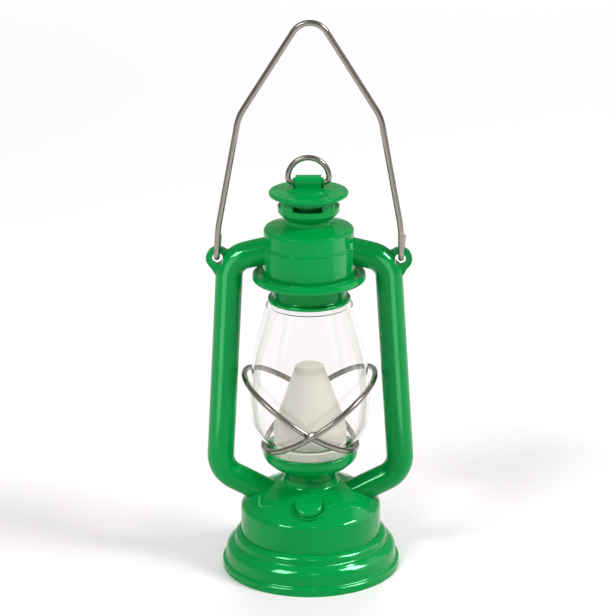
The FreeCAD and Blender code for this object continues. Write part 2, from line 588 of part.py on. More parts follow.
def bail_handle():
    """One wire: a hook through each ear, a straight leg, a knee and a slope up to a round top."""
    reach, z = hook_radius(), bridge_z()
    lean = math.tan(math.radians(TAIL_LEAN))
    foot_x = EAR_X + BAIL_OUTSET

    def end(side):
        x = side * foot_x
        rise = BAIL_TAIL + reach
        skew = BAIL_KNEE_SKEW if side < 0 else 0
        return [Vector(x + rise * lean, reach, z + BAIL_TAIL), Vector(x, reach, z - reach),
                Vector(x, -reach, z - reach),
                Vector(side * BAIL_SHIN_X + BAIL_LEAN / 3, -reach, BAIL_SHIN_Z),
                Vector(side * (BAIL_KNEE_X + skew) + BAIL_LEAN, -reach, BAIL_KNEE_Z)]

    points = end(-1) + [Vector(BAIL_LEAN, -reach, BAIL_APEX_Z)] + end(1)[::-1]
    hook = [reach * 0.999, reach * 0.999, BAIL_SHIN_BEND, BAIL_KNEE_BEND]
    bends = hook + [BAIL_APEX_BEND] + hook[::-1]
    return rod(BAIL_WIRE, points, bends)


def lift_ring():
    """Open wire ring whose ends turn in as pins."""
    top = RING_CENTRE_Z + RING_R
    spots = [(-RING_PIN_END_X, RING_PIN_Z), (-RING_R, RING_PIN_Z), (-RING_R, top), (RING_R, top),
             (RING_R, RING_PIN_Z), (RING_PIN_END_X, RING_PIN_Z)]
    return rod(RING_WIRE, [Vector(x, 0, z) for x, z in spots],
               [RING_CORNER, RING_R * 0.999, RING_R * 0.999, RING_CORNER])


# ---- button and switch --------------------------------------------------------------------------

def push_button():
    """Cap-shaped button on a stem that reaches the switch's plunger."""
    head = lathe([(0, 0), (BUTTON_R, 0), (BUTTON_R, BUTTON_H - 0.4, 1.1), (BUTTON_R - 2.4, BUTTON_H, 6.0),
                  (0, BUTTON_H + BUTTON_CROWN)])
    return on_button(fuse([head, cylinder(STEM_R, STEM_L + 0.01, z=-STEM_L)]))


def switch_plunger():
    return on_button(cylinder(PLUNGER_R, PLUNGER_H + 1.4, z=switch_top() - 1.4))


def switch_body():
    """Square latching switch with a well for its plunger and two solder tags."""
    half = SWITCH_W / 2
    case = block(-half, half, -half, half, switch_top() - BRACKET_T - SWITCH_H, switch_top())
    well = cylinder(PLUNGER_R + FIT, 4, z=switch_top() - 1.4 - BUTTON_TRAVEL - 0.2)
    tags = [block(side * 2.5 - 0.9, side * 2.5 + 0.9, -0.25, 0.25, switch_top() - BRACKET_T - SWITCH_H - 2.6,
                  switch_top() - BRACKET_T - SWITCH_H + 0.5) for side in (-1, 1)]
    return on_button(fuse([case] + tags).cut(well))


def switch_bracket():
    """Plate that holds the switch against the tank's two posts."""
    top = switch_top()
    plate = block(-BRACKET_W / 2, BRACKET_W / 2, -BRACKET_D / 2, BRACKET_D / 2, top - BRACKET_T, top)
    half = SWITCH_W / 2 + SEAT
    window = block(-half, half, -half, half, top - 5, top + 5)
    holes = [cylinder(SCREW_R + FIT, 6, x, 0, top - 3) for x in bracket_screw_spots()]
    return on_button(plate.cut(fuse([window] + holes)))


def screw(length):
    """Round-headed screw, pointing up, with its head's underside at zero and a cross recess."""
    shank = cylinder(SCREW_R - 0.05, length, z=0)
    head = lathe([(0, -SCREW_HEAD_H), (SCREW_HEAD_R * 0.6, -SCREW_HEAD_H),
                  (SCREW_HEAD_R, -SCREW_HEAD_H * 0.35), (SCREW_HEAD_R, 0), (0, 0)])
    arm = SCREW_HEAD_R * 0.55
    cross = fuse([block(-arm, arm, -0.3, 0.3, -2, -0.6), block(-0.3, 0.3, -arm, arm, -2, -0.6)])
    return fuse([shank, head]).cut(cross)


def switch_screws():
    base = switch_top() - BRACKET_T - SEAT
    one = screw(BRACKET_SCREW_L)
    return Part.makeCompound([on_button(one.translated(Vector(x, 0, base))) for x in bracket_screw_spots()])


def base_screws():
    base = PLATE_Z + HEAD_SINK
    one = screw(BASE_BOSS_TOP_Z - base - 1.5)
    return Part.makeCompound([one.translated(Vector(x, y, base - SEAT)) for x, y in base_screw_spots()])


def hood_screws():
    base = BRIM_Z - THIN_WALL - SEAT
    one = screw(HOOD_SCREW_L)
    return Part.makeCompound([one.translated(Vector(x, y, base)) for x, y in hood_screw_spots()])


# ---- base plate, door and cells -----------------------------------------------------------------

def box_half_x():
    return (CELL_L + CELL_NUB_H + SPRING_SPACE) / 2 + 0.8


def box_half_y():
    return CELL_PITCH * (CELL_COUNT - 1) / 2 + CELL_R + 0.3


def cell_z():
    return PLATE_Z + DOOR_T + 0.5 + CELL_R


def tongue_spots():
    return [side * (box_half_x() + BOX_WALL + BOSS_R) for side in (-1, 1)]


def foot_room():
    """Turned body that keeps the base plate's box clear of the foot's inside."""
    inner = [(r, z) for r, z, *_ in inset(foot_outline(), WALL + 0.4) if z > LIP_H + 1.6]
    top = PLATE_Z + PLATE_T
    throat = TANK_R - WALL - 1.2
    return lathe([(0, 0), (PLATE_R, 0), (PLATE_R, top), (PLATE_R - 2.2, top)] + inner[:-2]
                 + [(throat, FOOT_H - WALL), (throat, FOOT_H + 4), (0, FOOT_H + 4)])


def door_footprint(gap):
    """Door outline in plan: a rectangle with a tongue at each end, grown by a gap."""
    reach = tongue_spots()[1] + BOSS_R + 0.8 + gap
    half = TONGUE_W / 2 + gap
    panel = block(-box_half_x() - gap, box_half_x() + gap, -box_half_y() - gap, box_half_y() + gap, 0, 1)
    tongue = block(-reach, reach, -half, half, 0, 1)
    return fuse([panel, tongue])


def scaled_up(shape, bottom, top):
    """The bottom face of a one millimetre footprint, stretched between two heights."""
    low = [f for f in shape.Faces if f.BoundBox.ZMax < 0.001][0]
    return low.translated(Vector(0, 0, bottom)).extrude(Vector(0, 0, top - bottom))


def base_plate():
    """Disc that closes the foot, with the battery box, pockets for the door's tongues and screw pillars."""
    top = PLATE_Z + PLATE_T
    hx, hy = box_half_x(), box_half_y()
    roof = cell_z() + CELL_R + 0.3
    disc = cylinder(PLATE_R, PLATE_T, z=PLATE_Z)
    box = block(-hx - BOX_WALL, hx + BOX_WALL, -hy - BOX_WALL, hy + BOX_WALL, PLATE_Z, roof + BOX_WALL)
    pocket_x = tongue_spots()[1] + BOSS_R + 0.8 + BOX_WALL
    pocket_y = TONGUE_W / 2 + BOX_WALL
    pocket = block(-pocket_x, pocket_x, -pocket_y, pocket_y, PLATE_Z, top + BOX_WALL)
    bosses = [cylinder(BOSS_R, 6.0, x, 0, top) for x in tongue_spots()]
    pillars = [cylinder(BOSS_R, FOOT_H - top, x, y, top) for x, y in base_screw_spots()]
    body = fuse([disc, box, pocket] + bosses + pillars).common(foot_room())
    cells = block(-hx, hx, -hy, hy, 0, roof)
    door_room = scaled_up(door_footprint(DOOR_GAP), 0, PLATE_Z + DOOR_T + DOOR_GAP / 2)
    pilots = [cylinder(SCREW_R, 6.0, x, 0, top) for x in tongue_spots()]
    holes = [cylinder(SCREW_R + FIT, FOOT_H + 2, x, y, 0) for x, y in base_screw_spots()]
    sinks = [cylinder(SCREW_HEAD_R + FIT, PLATE_Z + HEAD_SINK, x, y, 0) for x, y in base_screw_spots()]
    body = body.cut(fuse([cells, door_room] + pilots + holes + sinks))
    return body.cut(Part.makeCompound([cylinder(2 * WIRE_R, 4, x, y, roof - 1) for x, y in lead_holes()]))


def battery_door():
    """Flat door with a screw tongue at each end and grip grooves across its middle."""
    panel = scaled_up(door_footprint(0), PLATE_Z, PLATE_Z + DOOR_T)
    countersinks = [cylinder(SCREW_HEAD_R + FIT, 1.0, x, 0, PLATE_Z - 0.2) for x in tongue_spots()]
    holes = [cylinder(SCREW_R + FIT, 4, x, 0, 0) for x in tongue_spots()]
    grooves = [block(-10 + i * 4, -9 + i * 4, -6, 6, PLATE_Z - 0.5, PLATE_Z + 0.4) for i in range(6)]
    return panel.cut(Part.makeCompound(grooves)).cut(fuse(countersinks + holes))


def door_screws():
    base = PLATE_Z + 0.8
    return Part.makeCompound([screw(5.2).translated(Vector(x, 0, base - 0.001)) for x in tongue_spots()])


def cell_rows():
    """Each cell's place across the box, and which way its plus end points."""
    first = -CELL_PITCH * (CELL_COUNT - 1) / 2
    return [(first + i * CELL_PITCH, 1 if i % 2 == 0 else -1) for i in range(CELL_COUNT)]


def battery_cell(row, facing):
    """Round cell with its plus nub against a contact plate."""
    plus = facing * (box_half_x() - 0.5)
    start = plus - facing * CELL_NUB_H
    can = cylinder(CELL_R, CELL_L, start, row, cell_z(), X_AXIS * -facing)
    edge = [e for e in can.Edges if len(e.Vertexes) == 1]
    can = can.makeFillet(0.6, edge)
    nub = cylinder(CELL_NUB_R, CELL_NUB_H + 0.5, plus, row, cell_z(), X_AXIS * -facing)
    return fuse([can, nub])


def contact_plates():
    """Flat steel contacts at the cells' plus ends."""
    plates = []
    for row, facing in cell_rows():
        x = facing * box_half_x()
        edges = sorted((x, x - facing * CONTACT_T))
        plates.append(block(*edges, row - CONTACT_W / 2, row + CONTACT_W / 2, cell_z() - CONTACT_H / 2,
                            cell_z() + CONTACT_H / 2))
    return Part.makeCompound(plates)


def contact_springs():
    """Folded leaf springs at the cells' minus ends: an upright and a leaf that slopes in to the cell."""
    half = CONTACT_H / 2
    reach = 2 * box_half_x() - 2 * 0.5 - CELL_NUB_H - CELL_L + 0.5 - SEAT
    leaf = outline([(0, -half), (CONTACT_T, -half), (CONTACT_T, half - 1.2), (reach - 0.3, -1.6),
                    (reach, -1.2), (CONTACT_T + 0.2, half), (0, half)])
    leaf = leaf.extrude(Vector(0, CONTACT_W, 0)).translated(Vector(-box_half_x(), -CONTACT_W / 2, cell_z()))
    springs = []
    for row, facing in cell_rows():
        one = leaf if facing > 0 else mirrored_x(leaf)
        springs.append(one.translated(Vector(0, row, 0)))
    return Part.makeCompound(springs)


# ---- leads --------------------------------------------------------------------------------------

def lead(name, points):
    """Insulated lead: straight runs joined by arcs as large as the runs allow."""
    spots = [Vector(*p) for p in points]
    runs = [b - a for a, b in zip(spots, spots[1:])]
    bends = [0.45 * min(a.Length, b.Length) / math.tan(a.getAngle(b) / 2) for a, b in zip(runs, runs[1:])]
    print(name, "bend radii", [round(b, 1) for b in bends])
    return rod(2 * WIRE_R, spots, bends)


def lead_holes():
    """Holes in the battery box's roof, above a contact at each end."""
    first, last = cell_rows()[0], cell_rows()[-1]
    x = box_half_x() - CONTACT_T - 2 * WIRE_R
    return [(-first[1] * x, first[0]), (-last[1] * x, last[0])]


def roof_top():
    return cell_z() + CELL_R + 0.3 + BOX_WALL


def contact_top():
    return cell_z() + CONTACT_H / 2


def switch_tag(side):
    """Middle of a switch tag's inner face, where a lead is soldered."""
    depth = switch_top() - BRACKET_T - SWITCH_H - 1.4
    return button_frame().multVec(Vector(side * 2.5, 0.25 + WIRE_R, depth))


def lead_box_to_switch():
    x, y = lead_holes()[0]
    tag = switch_tag(1)
    over = roof_top() + 2 * WIRE_R
    inward = math.copysign(1, x)
    return lead("lead_box_to_switch", [
        (x, y, contact_top() - 0.3), (x, y, roof_top() + 1.2), (x - 6 * inward, y + 1, over + 2.5),
        (13 * inward, y + 3, over + 1.2), (7, tag.y + 4, over + 1.2), (tag.x, tag.y, tag.z),
    ])


def lead_switch_to_lamp():
    tag = switch_tag(-1)
    return lead("lead_switch_to_lamp", [
        (tag.x, tag.y, tag.z), (tag.x - 2, tag.y + 5, tag.z + 3.0), (-6, -4, 26), (-4, -2, 36),
        (-1.27, -WIRE_R - 0.4, CUP_FLOOR_Z - 2.2),
    ])


def lead_lamp_to_box():
    x, y = lead_holes()[1]
    over = roof_top() + 2 * WIRE_R
    inward = math.copysign(1, x)
    return lead("lead_lamp_to_box", [
        (1.27, WIRE_R + 0.4, CUP_FLOOR_Z - 2.2), (4, 3, 35), (6, 6, 25), (inward * 12, y - 1, over + 1.5),
        (x - 6 * inward, y, over + 2.5), (x, y, roof_top() + 1.2), (x, y, contact_top() - 0.3),
    ])


# ---- files --------------------------------------------------------------------------------------

def parts():
    made = {
        "foot_skirt": foot_skirt(),
        "fuel_tank": fuel_tank(),
        "burner_cup": burner_cup(),
        "globe": globe(),
        "flame_diffuser": flame_diffuser(),
        "reflector_plate": reflector_plate(),
        "led_board": led_board(),
        "led_lamp": led_lamp(),
        "led_leads": led_leads(),
        "guard_hoop_outer": guard_hoop(1),
        "guard_hoop_inner": guard_hoop(-1),
        "globe_collar": globe_collar(),
        "hood_lower": hood_lower(),
        "hood_upper": hood_upper(),
        "vent_crown": vent_crown(),
        "hat_cap": hat_cap(),
        "lift_ring": lift_ring(),
        "bail_handle": bail_handle(),
        "push_button": push_button(),
        "switch_plunger": switch_plunger(),
        "switch_body": switch_body(),
        "switch_bracket": switch_bracket(),
        "switch_screws": switch_screws(),
        "base_plate": base_plate(),
        "base_screws": base_screws(),
        "hood_screws": hood_screws(),
        "battery_door": battery_door(),
        "door_screws": door_screws(),
        "contact_plates": contact_plates(),
        "contact_springs": contact_springs(),
        "lead_box_to_switch": lead_box_to_switch(),
        "lead_switch_to_lamp": lead_switch_to_lamp(),
        "lead_lamp_to_box": lead_lamp_to_box(),
    }
    for name, side in (("left", -1), ("right", 1)):
        made[f"side_tube_{name}_front"] = side_tube(side, back=False)
        made[f"side_tube_{name}_back"] = side_tube(side, back=True)
    for i, (row, facing) in enumerate(cell_rows()):
        made[f"battery_cell_{i + 1}"] = battery_cell(row, facing)
    return made


def main():
    os.makedirs("parts", exist_ok=True)
    for name, shape in parts().items():
        solids = shape.Solids
        if not solids or not all(s.isValid() and s.Volume > 0 for s in solids):
            raise ValueError(f"{name} is not a set of valid solids")
        whole = solids[0] if len(solids) == 1 else Part.makeCompound(solids)
        whole.exportStep(f"parts/{name}.step")
        print(name, len(solids), round(sum(s.Volume for s in solids), 1))


main()
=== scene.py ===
import json
import math

import bpy
import numpy as np
from mathutils import Euler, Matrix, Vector


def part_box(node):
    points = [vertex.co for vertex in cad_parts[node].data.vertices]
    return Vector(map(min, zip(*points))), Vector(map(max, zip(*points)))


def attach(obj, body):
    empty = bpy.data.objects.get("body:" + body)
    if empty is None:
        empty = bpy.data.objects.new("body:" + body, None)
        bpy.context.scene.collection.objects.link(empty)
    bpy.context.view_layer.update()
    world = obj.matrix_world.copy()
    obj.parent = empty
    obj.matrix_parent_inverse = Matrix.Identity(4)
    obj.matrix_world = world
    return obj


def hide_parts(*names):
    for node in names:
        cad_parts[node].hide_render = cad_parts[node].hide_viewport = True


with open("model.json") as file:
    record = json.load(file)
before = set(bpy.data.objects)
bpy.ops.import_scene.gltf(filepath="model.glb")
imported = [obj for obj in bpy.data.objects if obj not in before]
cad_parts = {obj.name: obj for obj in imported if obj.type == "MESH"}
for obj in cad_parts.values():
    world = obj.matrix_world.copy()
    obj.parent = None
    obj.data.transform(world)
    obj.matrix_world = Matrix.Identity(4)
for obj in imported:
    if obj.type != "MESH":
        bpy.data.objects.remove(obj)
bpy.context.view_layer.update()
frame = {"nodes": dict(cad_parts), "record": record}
MM = 0.001

# Textures, in cells per metre, and their relief in metres
MOTTLE, PEEL_GRAIN, PEEL_DEPTH, COARSE_PEEL_DEPTH = 45.0, 900.0, 2e-6, 6e-6
WIRE_GRAIN, WIRE_PATCH, WIRE_DEPTH = 900.0, 260.0, 4e-6
FLOW_GRAIN, FLOW_PATCH, FLOW_DEPTH, FLOW_STRETCH = 55.0, 60.0, 6e-6, (1, 1, 0.35)
MILK_MOTTLE, MILK_GRAIN, MILK_DEPTH = 70.0, 1500.0, 8e-6
MILK_TOP_PAINTED_SHADE = 0.66           # painted shade: the share of its colour that the top of the diffuser keeps
MILK_ROUGH, MILK_IOR, MILK_SCATTER = 0.5, 1.4, 0.8
MILK_REACH = (0.012, 0.011, 0.01)
PAPER_ROUGH = 0.85


# ---------------------------------------------------------------- node helpers
def fresh_material(name):
    """An empty material with a Principled shader: returns (material, nodes, links, shader)."""
    material = bpy.data.materials.new(name)
    material.use_nodes = True
    nodes, links = material.node_tree.nodes, material.node_tree.links
    nodes.clear()
    shader = nodes.new("ShaderNodeBsdfPrincipled")
    output = nodes.new("ShaderNodeOutputMaterial")
    links.new(shader.outputs[0], output.inputs["Surface"])
    return material, nodes, links, shader


def noise(nodes, links, scale, detail=3.0, stretch=(1, 1, 1)):
    """Noise on object coordinates; scale is in cells per metre. Returns the 0 to 1 output."""
    place = nodes.new("ShaderNodeTexCoord")
    mapping = nodes.new("ShaderNodeMapping")
    mapping.inputs["Scale"].default_value = stretch
    texture = nodes.new("ShaderNodeTexNoise")
    texture.inputs["Scale"].default_value = scale
    texture.inputs["Detail"].default_value = detail
    links.new(place.outputs["Object"], mapping.inputs["Vector"])
    links.new(mapping.outputs["Vector"], texture.inputs["Vector"])
    return texture.outputs["Fac"]


def ranged(nodes, links, value, low, high):
    """Maps a 0 to 1 value to low to high."""
    remap = nodes.new("ShaderNodeMapRange")
    remap.inputs["To Min"].default_value = low
    remap.inputs["To Max"].default_value = high
    links.new(value, remap.inputs["Value"])
    return remap.outputs["Result"]


def blended(nodes, links, value, first, second):
    """Colour that goes from first to second as value goes from 0 to 1."""
    mix = nodes.new("ShaderNodeMix")
    mix.data_type = "RGBA"
    mix.inputs["A"].default_value = (*first, 1)
    mix.inputs["B"].default_value = (*second, 1)
    links.new(value, mix.inputs["Factor"])
    return mix.outputs["Result"]


def bumped(nodes, links, shader, value, depth):
    """Small relief of the given depth in metres."""
    bump = nodes.new("ShaderNodeBump")
    bump.inputs["Distance"].default_value = depth
    bump.inputs["Strength"].default_value = 1.0
    links.new(value, bump.inputs["Height"])
    links.new(bump.outputs["Normal"], shader.inputs["Normal"])


def plastic(name, dark, light, rough, ior=1.46, relief=PEEL_DEPTH, gloss=(1, 1, 1)):
    """Moulded plastic: a slow drift between two near colours, a fine orange-peel relief and uneven gloss."""
    material, nodes, links, shader = fresh_material(name)
    links.new(blended(nodes, links, noise(nodes, links, MOTTLE), dark, light), shader.inputs["Base Color"])
    patches = noise(nodes, links, MOTTLE * 3, 5.0)
    links.new(ranged(nodes, links, patches, rough[0], rough[1]), shader.inputs["Roughness"])
    shader.inputs["IOR"].default_value = ior
    shader.inputs["Specular Tint"].default_value = (*gloss, 1)
    bumped(nodes, links, shader, noise(nodes, links, PEEL_GRAIN, 2.0), relief)
    return material


def metal(name, dark, light, rough):
    """Plated or drawn metal: fine grain in colour and relief, and wider patches in gloss."""
    material, nodes, links, shader = fresh_material(name)
    grain = noise(nodes, links, WIRE_GRAIN, 4.0)
    links.new(blended(nodes, links, grain, dark, light), shader.inputs["Base Color"])
    patches = noise(nodes, links, WIRE_PATCH, 5.0)
    links.new(ranged(nodes, links, patches, rough[0], rough[1]), shader.inputs["Roughness"])
    shader.inputs["Metallic"].default_value = 1.0
    bumped(nodes, links, shader, grain, WIRE_DEPTH)
    return material


def clear(name, tint, rough, ior):
    """Clear moulded plastic with faint flow marks; the lamps' light passes straight through it."""
    material, nodes, links, shader = fresh_material(name)
    shader.inputs["Base Color"].default_value = (*tint, 1)
    shader.inputs["Transmission Weight"].default_value = 1.0
    shader.inputs["IOR"].default_value = ior
    patches = noise(nodes, links, FLOW_PATCH, 4.0)
    links.new(ranged(nodes, links, patches, rough[0], rough[1]), shader.inputs["Roughness"])
    bumped(nodes, links, shader, noise(nodes, links, FLOW_GRAIN, 2.0, FLOW_STRETCH), FLOW_DEPTH)
    path = nodes.new("ShaderNodeLightPath")
    open_air = nodes.new("ShaderNodeBsdfTransparent")
    open_air.inputs["Color"].default_value = (*tint, 1)
    mix = nodes.new("ShaderNodeMixShader")
    links.new(path.outputs["Is Shadow Ray"], mix.inputs["Fac"])
    links.new(shader.outputs[0], mix.inputs[1])
    links.new(open_air.outputs[0], mix.inputs[2])
    output = [n for n in nodes if n.type == "OUTPUT_MATERIAL"][0]
    links.new(mix.outputs[0], output.inputs["Surface"])
    return material


def frosted(name, dark, light, low, high):
    """Matt milky plastic with a mottle, whose colour is darkened between the heights low and high as painted
    shade on the top.
    """
    material, nodes, links, shader = fresh_material(name)
    place = nodes.new("ShaderNodeTexCoord")
    split = nodes.new("ShaderNodeSeparateXYZ")
    links.new(place.outputs["Object"], split.inputs[0])
    # painted shade: the colour falls off towards the top of the diffuser
    painted_top_shade = nodes.new("ShaderNodeMapRange")
    painted_top_shade.interpolation_type = "SMOOTHSTEP"
    painted_top_shade.inputs["From Min"].default_value = low
    painted_top_shade.inputs["From Max"].default_value = high
    painted_top_shade.inputs["To Min"].default_value = 1.0
    painted_top_shade.inputs["To Max"].default_value = MILK_TOP_PAINTED_SHADE
    links.new(split.outputs["Z"], painted_top_shade.inputs["Value"])
    scaled = nodes.new("ShaderNodeVectorMath")
    scaled.operation = "SCALE"
    links.new(blended(nodes, links, noise(nodes, links, MILK_MOTTLE), dark, light), scaled.inputs[0])
    links.new(painted_top_shade.outputs["Result"], scaled.inputs["Scale"])
    links.new(scaled.outputs[0], shader.inputs["Base Color"])
    shader.inputs["Roughness"].default_value = MILK_ROUGH
    shader.inputs["IOR"].default_value = MILK_IOR
    shader.inputs["Subsurface Weight"].default_value = MILK_SCATTER
    shader.inputs["Subsurface Radius"].default_value = MILK_REACH
    shader.inputs["Subsurface Scale"].default_value = 1.0
    bumped(nodes, links, shader, noise(nodes, links, MILK_GRAIN, 2.0), MILK_DEPTH)
    return material


MATERIALS = {
    "green_plastic": plastic("green_plastic", (0.0, 0.275, 0.052), (0.0, 0.305, 0.058), (0.09, 0.13), 1.4,
                             gloss=(0.33, 0.85, 0.5)),
    "clear_plastic": clear("clear_plastic", (1.0, 0.99, 0.98), (0.0, 0.03), 1.49),
    # the last two numbers are the heights, in metres, over which painted shade darkens the diffuser's top
    "frosted_plastic": frosted("frosted_plastic", (0.46, 0.445, 0.37), (0.50, 0.485, 0.405), 0.086, 0.0905),
    "nickel_wire": metal("nickel_wire", (0.24, 0.222, 0.187), (0.38, 0.355, 0.3), (0.18, 0.3)),
    "white_plastic": plastic("white_plastic", (0.50, 0.50, 0.46), (0.56, 0.56, 0.52), (0.35, 0.45)),
    "black_plastic": plastic("black_plastic", (0.02, 0.02, 0.02), (0.035, 0.035, 0.035), (0.4, 0.5)),
    "dark_green_plastic": plastic("dark_green_plastic", (0.0, 0.2, 0.04), (0.0, 0.24, 0.05), (0.4, 0.5),
                                  relief=COARSE_PEEL_DEPTH),
    "board": plastic("board", (0.015, 0.13, 0.05), (0.02, 0.17, 0.065), (0.3, 0.4)),
    "lamp_epoxy": clear("lamp_epoxy", (0.98, 0.95, 0.8), (0.0, 0.02), 1.5),
    "screw_steel": metal("screw_steel", (0.5, 0.5, 0.51), (0.62, 0.62, 0.63), (0.25, 0.4)),
    "contact_steel": metal("contact_steel", (0.62, 0.61, 0.58), (0.74, 0.73, 0.7), (0.2, 0.35)),
    "cell_jacket": plastic("cell_jacket", (0.08, 0.1, 0.14), (0.11, 0.13, 0.18), (0.2, 0.3)),
    "lead_red": plastic("lead_red", (0.5, 0.025, 0.02), (0.6, 0.035, 0.025), (0.4, 0.5)),
    "lead_black": plastic("lead_black", (0.015, 0.015, 0.015), (0.025, 0.025, 0.025), (0.4, 0.5)),
}


NODE_SLOT = {part["node"]: part["material_slot"] for part in frame["record"]["subparts"]}


# ---------------------------------------------------------------- camera
CAMERA_TILT = math.radians(18.6)
CAMERA_REACH = 1.134
CAMERA_TARGET = Vector((0, 0, 0.1155))
CAMERA_ROLL = math.radians(-0.38)
CAMERA_TURN = math.radians(2.0)
CAMERA_LENS, CAMERA_SENSOR, CAMERA_SHIFT = 157.79, 36.0, -0.0021
CAMERA_NEAR, CAMERA_FAR = 0.05, 30.0

camera = bpy.data.objects.new("camera", bpy.data.cameras.new("camera"))
bpy.context.scene.collection.objects.link(camera)
camera.data.sensor_width = CAMERA_SENSOR
camera.data.lens = CAMERA_LENS
camera.data.shift_x = CAMERA_SHIFT
camera.data.clip_start, camera.data.clip_end = CAMERA_NEAR, CAMERA_FAR
turn = Euler((0, 0, CAMERA_TURN)).to_matrix()
back = turn @ Vector((0, -math.cos(CAMERA_TILT), math.sin(CAMERA_TILT)))
camera.location = CAMERA_TARGET + back * CAMERA_REACH
tilt = Euler((math.pi / 2 - CAMERA_TILT, 0, 0)).to_matrix()
roll = Euler((0, 0, CAMERA_ROLL)).to_matrix()
camera.rotation_euler = (turn @ tilt @ roll).to_euler()
bpy.context.scene.camera = camera


# ---------------------------------------------------------------- floor and light
AIM = (0, 0, 0.1)
BEHIND = (0, 1.6, 0)            # the back lamps aim at the floor behind the object
BOX_REACH, BACK_REACH, CARD_REACH = 1.3, 2.2, 0.2
GLOSS_WIDTH, LEFT_GLOSS_POWER, RIGHT_GLOSS_POWER = 0.46, 60.0, 90.0     # power in watts per metre of height
LEFT_GLOSS_AZIMUTH, RIGHT_GLOSS_AZIMUTH = -44, 76
SKY_STRENGTH = 0.3


def softbox(name, azimuth, elevation, reach, width, height, watts, aim=AIM):
    """Rectangular lamp that faces the point aim; azimuth is from the front towards +X."""
    a, e = math.radians(azimuth), math.radians(elevation)
    way = Vector((math.sin(a) * math.cos(e), -math.cos(a) * math.cos(e), math.sin(e)))
    light = bpy.data.lights.new(name, "AREA")
    light.shape = "RECTANGLE"
    light.size, light.size_y = width, height
    light.energy = watts
    lamp = bpy.data.objects.new(name, light)
    lamp.location = Vector(aim) + way * reach
    lamp.rotation_euler = (-way).to_track_quat("-Z", "Y").to_euler()
    bpy.context.scene.collection.objects.link(lamp)
    return lamp


def gloss_only(lamp, nodes):
    """Makes the lamp show only as a reflection, and only in these nodes."""
    lamp.visible_camera = lamp.visible_diffuse = lamp.visible_transmission = False
    seen_by = bpy.data.collections.new(lamp.name)
    for node in nodes:
        seen_by.objects.link(frame["nodes"][node])
    lamp.light_linking.receiver_collection = seen_by


def card(name, azimuth, reach, width, height, watts, nodes):
    """Upright lamp close to the object that stands on the floor and shows only in the gloss of some nodes."""
    gloss_only(softbox(name, azimuth, 0, reach, width, height, watts, aim=(0, 0, height / 2)), nodes)


TUBES = {side: [n for n in frame["nodes"] if n.startswith("side_tube_" + side)] for side in ("left", "right")}
BROAD = ["hood_lower", "hood_upper", "fuel_tank", "foot_skirt", "burner_cup"]
CROWN = ["hood_upper", "hood_lower", "vent_crown", "hat_cap"]
GREEN = [n for n, slot in NODE_SLOT.items() if slot == "green_plastic" and n not in CROWN]

for name, azimuth, width, height, watts in (("left", -37, 0.42, 0.15, 8.6), ("right", 72, 0.38, 0.24, 10.5)):
    lamp = softbox(name + "_box", azimuth, 44, BOX_REACH, width, height, watts)
    lamp.visible_glossy = False
    shaded = bpy.data.collections.new(lamp.name)
    for node in TUBES["right" if name == "left" else "left"]:
        shaded.objects.link(frame["nodes"][node])
    for member in shaded.collection_objects:
        member.light_linking.link_state = "EXCLUDE"
    lamp.light_linking.receiver_collection = shaded
softbox("back_box", 180, 60, BACK_REACH, 2.2, 1.6, 54.0, aim=BEHIND).visible_glossy = False
FOOT, TANK = ["foot_skirt"], ["fuel_tank"]
REST = [n for n in GREEN if n not in FOOT + TANK]
for name, nodes, elevation, height in (("foot", FOOT, 41, 0.8), ("tank", TANK, 31, 0.26),
                                       ("rest", REST, 38, 0.44)):
    gloss_only(softbox(name + "_left_gloss", LEFT_GLOSS_AZIMUTH, elevation, BOX_REACH, GLOSS_WIDTH, height,
                       LEFT_GLOSS_POWER * height), nodes)
    gloss_only(softbox(name + "_right_gloss", RIGHT_GLOSS_AZIMUTH, elevation, BOX_REACH, GLOSS_WIDTH, height,
                       RIGHT_GLOSS_POWER * height), nodes)
gloss_only(softbox("centre_gloss", 7, 40, BOX_REACH, 0.18, 0.3, 1.5), GREEN)
gloss_only(softbox("left_crown_gloss", -40, 40, BOX_REACH, 0.4, 0.12, 2.6), CROWN)
gloss_only(softbox("right_crown_gloss", 70, 40, BOX_REACH, 0.4, 0.12, 2.6), CROWN)
WIRES = [n for n, slot in NODE_SLOT.items() if slot == "nickel_wire"]
WIRE_LAMPS = [softbox("left_wire_gloss", -37, 44, BOX_REACH, 0.42, 0.15, 9.0),
              softbox("right_wire_gloss", 72, 42, BOX_REACH, 0.38, 0.24, 10.5),
              softbox("back_wire_gloss", 180, 60, BACK_REACH, 2.2, 1.6, 44.0, aim=BEHIND)]
for lamp in WIRE_LAMPS:
    gloss_only(lamp, WIRES)
card("left_card", -41, CARD_REACH, 0.11, 0.2, 0.38, TUBES["left"])
card("right_card", 34, CARD_REACH, 0.11, 0.2, 0.38, TUBES["right"])
card("side_card", 92, 0.3, 0.3, 0.3, 0.5, BROAD)


def floor_paper_with_painted_shade(near, far, start, end):
    """Matt paper whose colour goes from near to far between two distances from the object, in metres; the
    darker near colour is painted shade round the object.
    """
    material, nodes, links, shader = fresh_material("floor_paper_with_painted_shade")
    place = nodes.new("ShaderNodeTexCoord")
    length = nodes.new("ShaderNodeVectorMath")
    length.operation = "LENGTH"
    links.new(place.outputs["Object"], length.inputs[0])
    fade = nodes.new("ShaderNodeMapRange")
    fade.interpolation_type = "SMOOTHSTEP"
    fade.inputs["From Min"].default_value = start
    fade.inputs["From Max"].default_value = end
    links.new(length.outputs["Value"], fade.inputs["Value"])
    links.new(blended(nodes, links, fade.outputs["Result"], near, far), shader.inputs["Base Color"])
    shader.inputs["Roughness"].default_value = PAPER_ROUGH
    return material


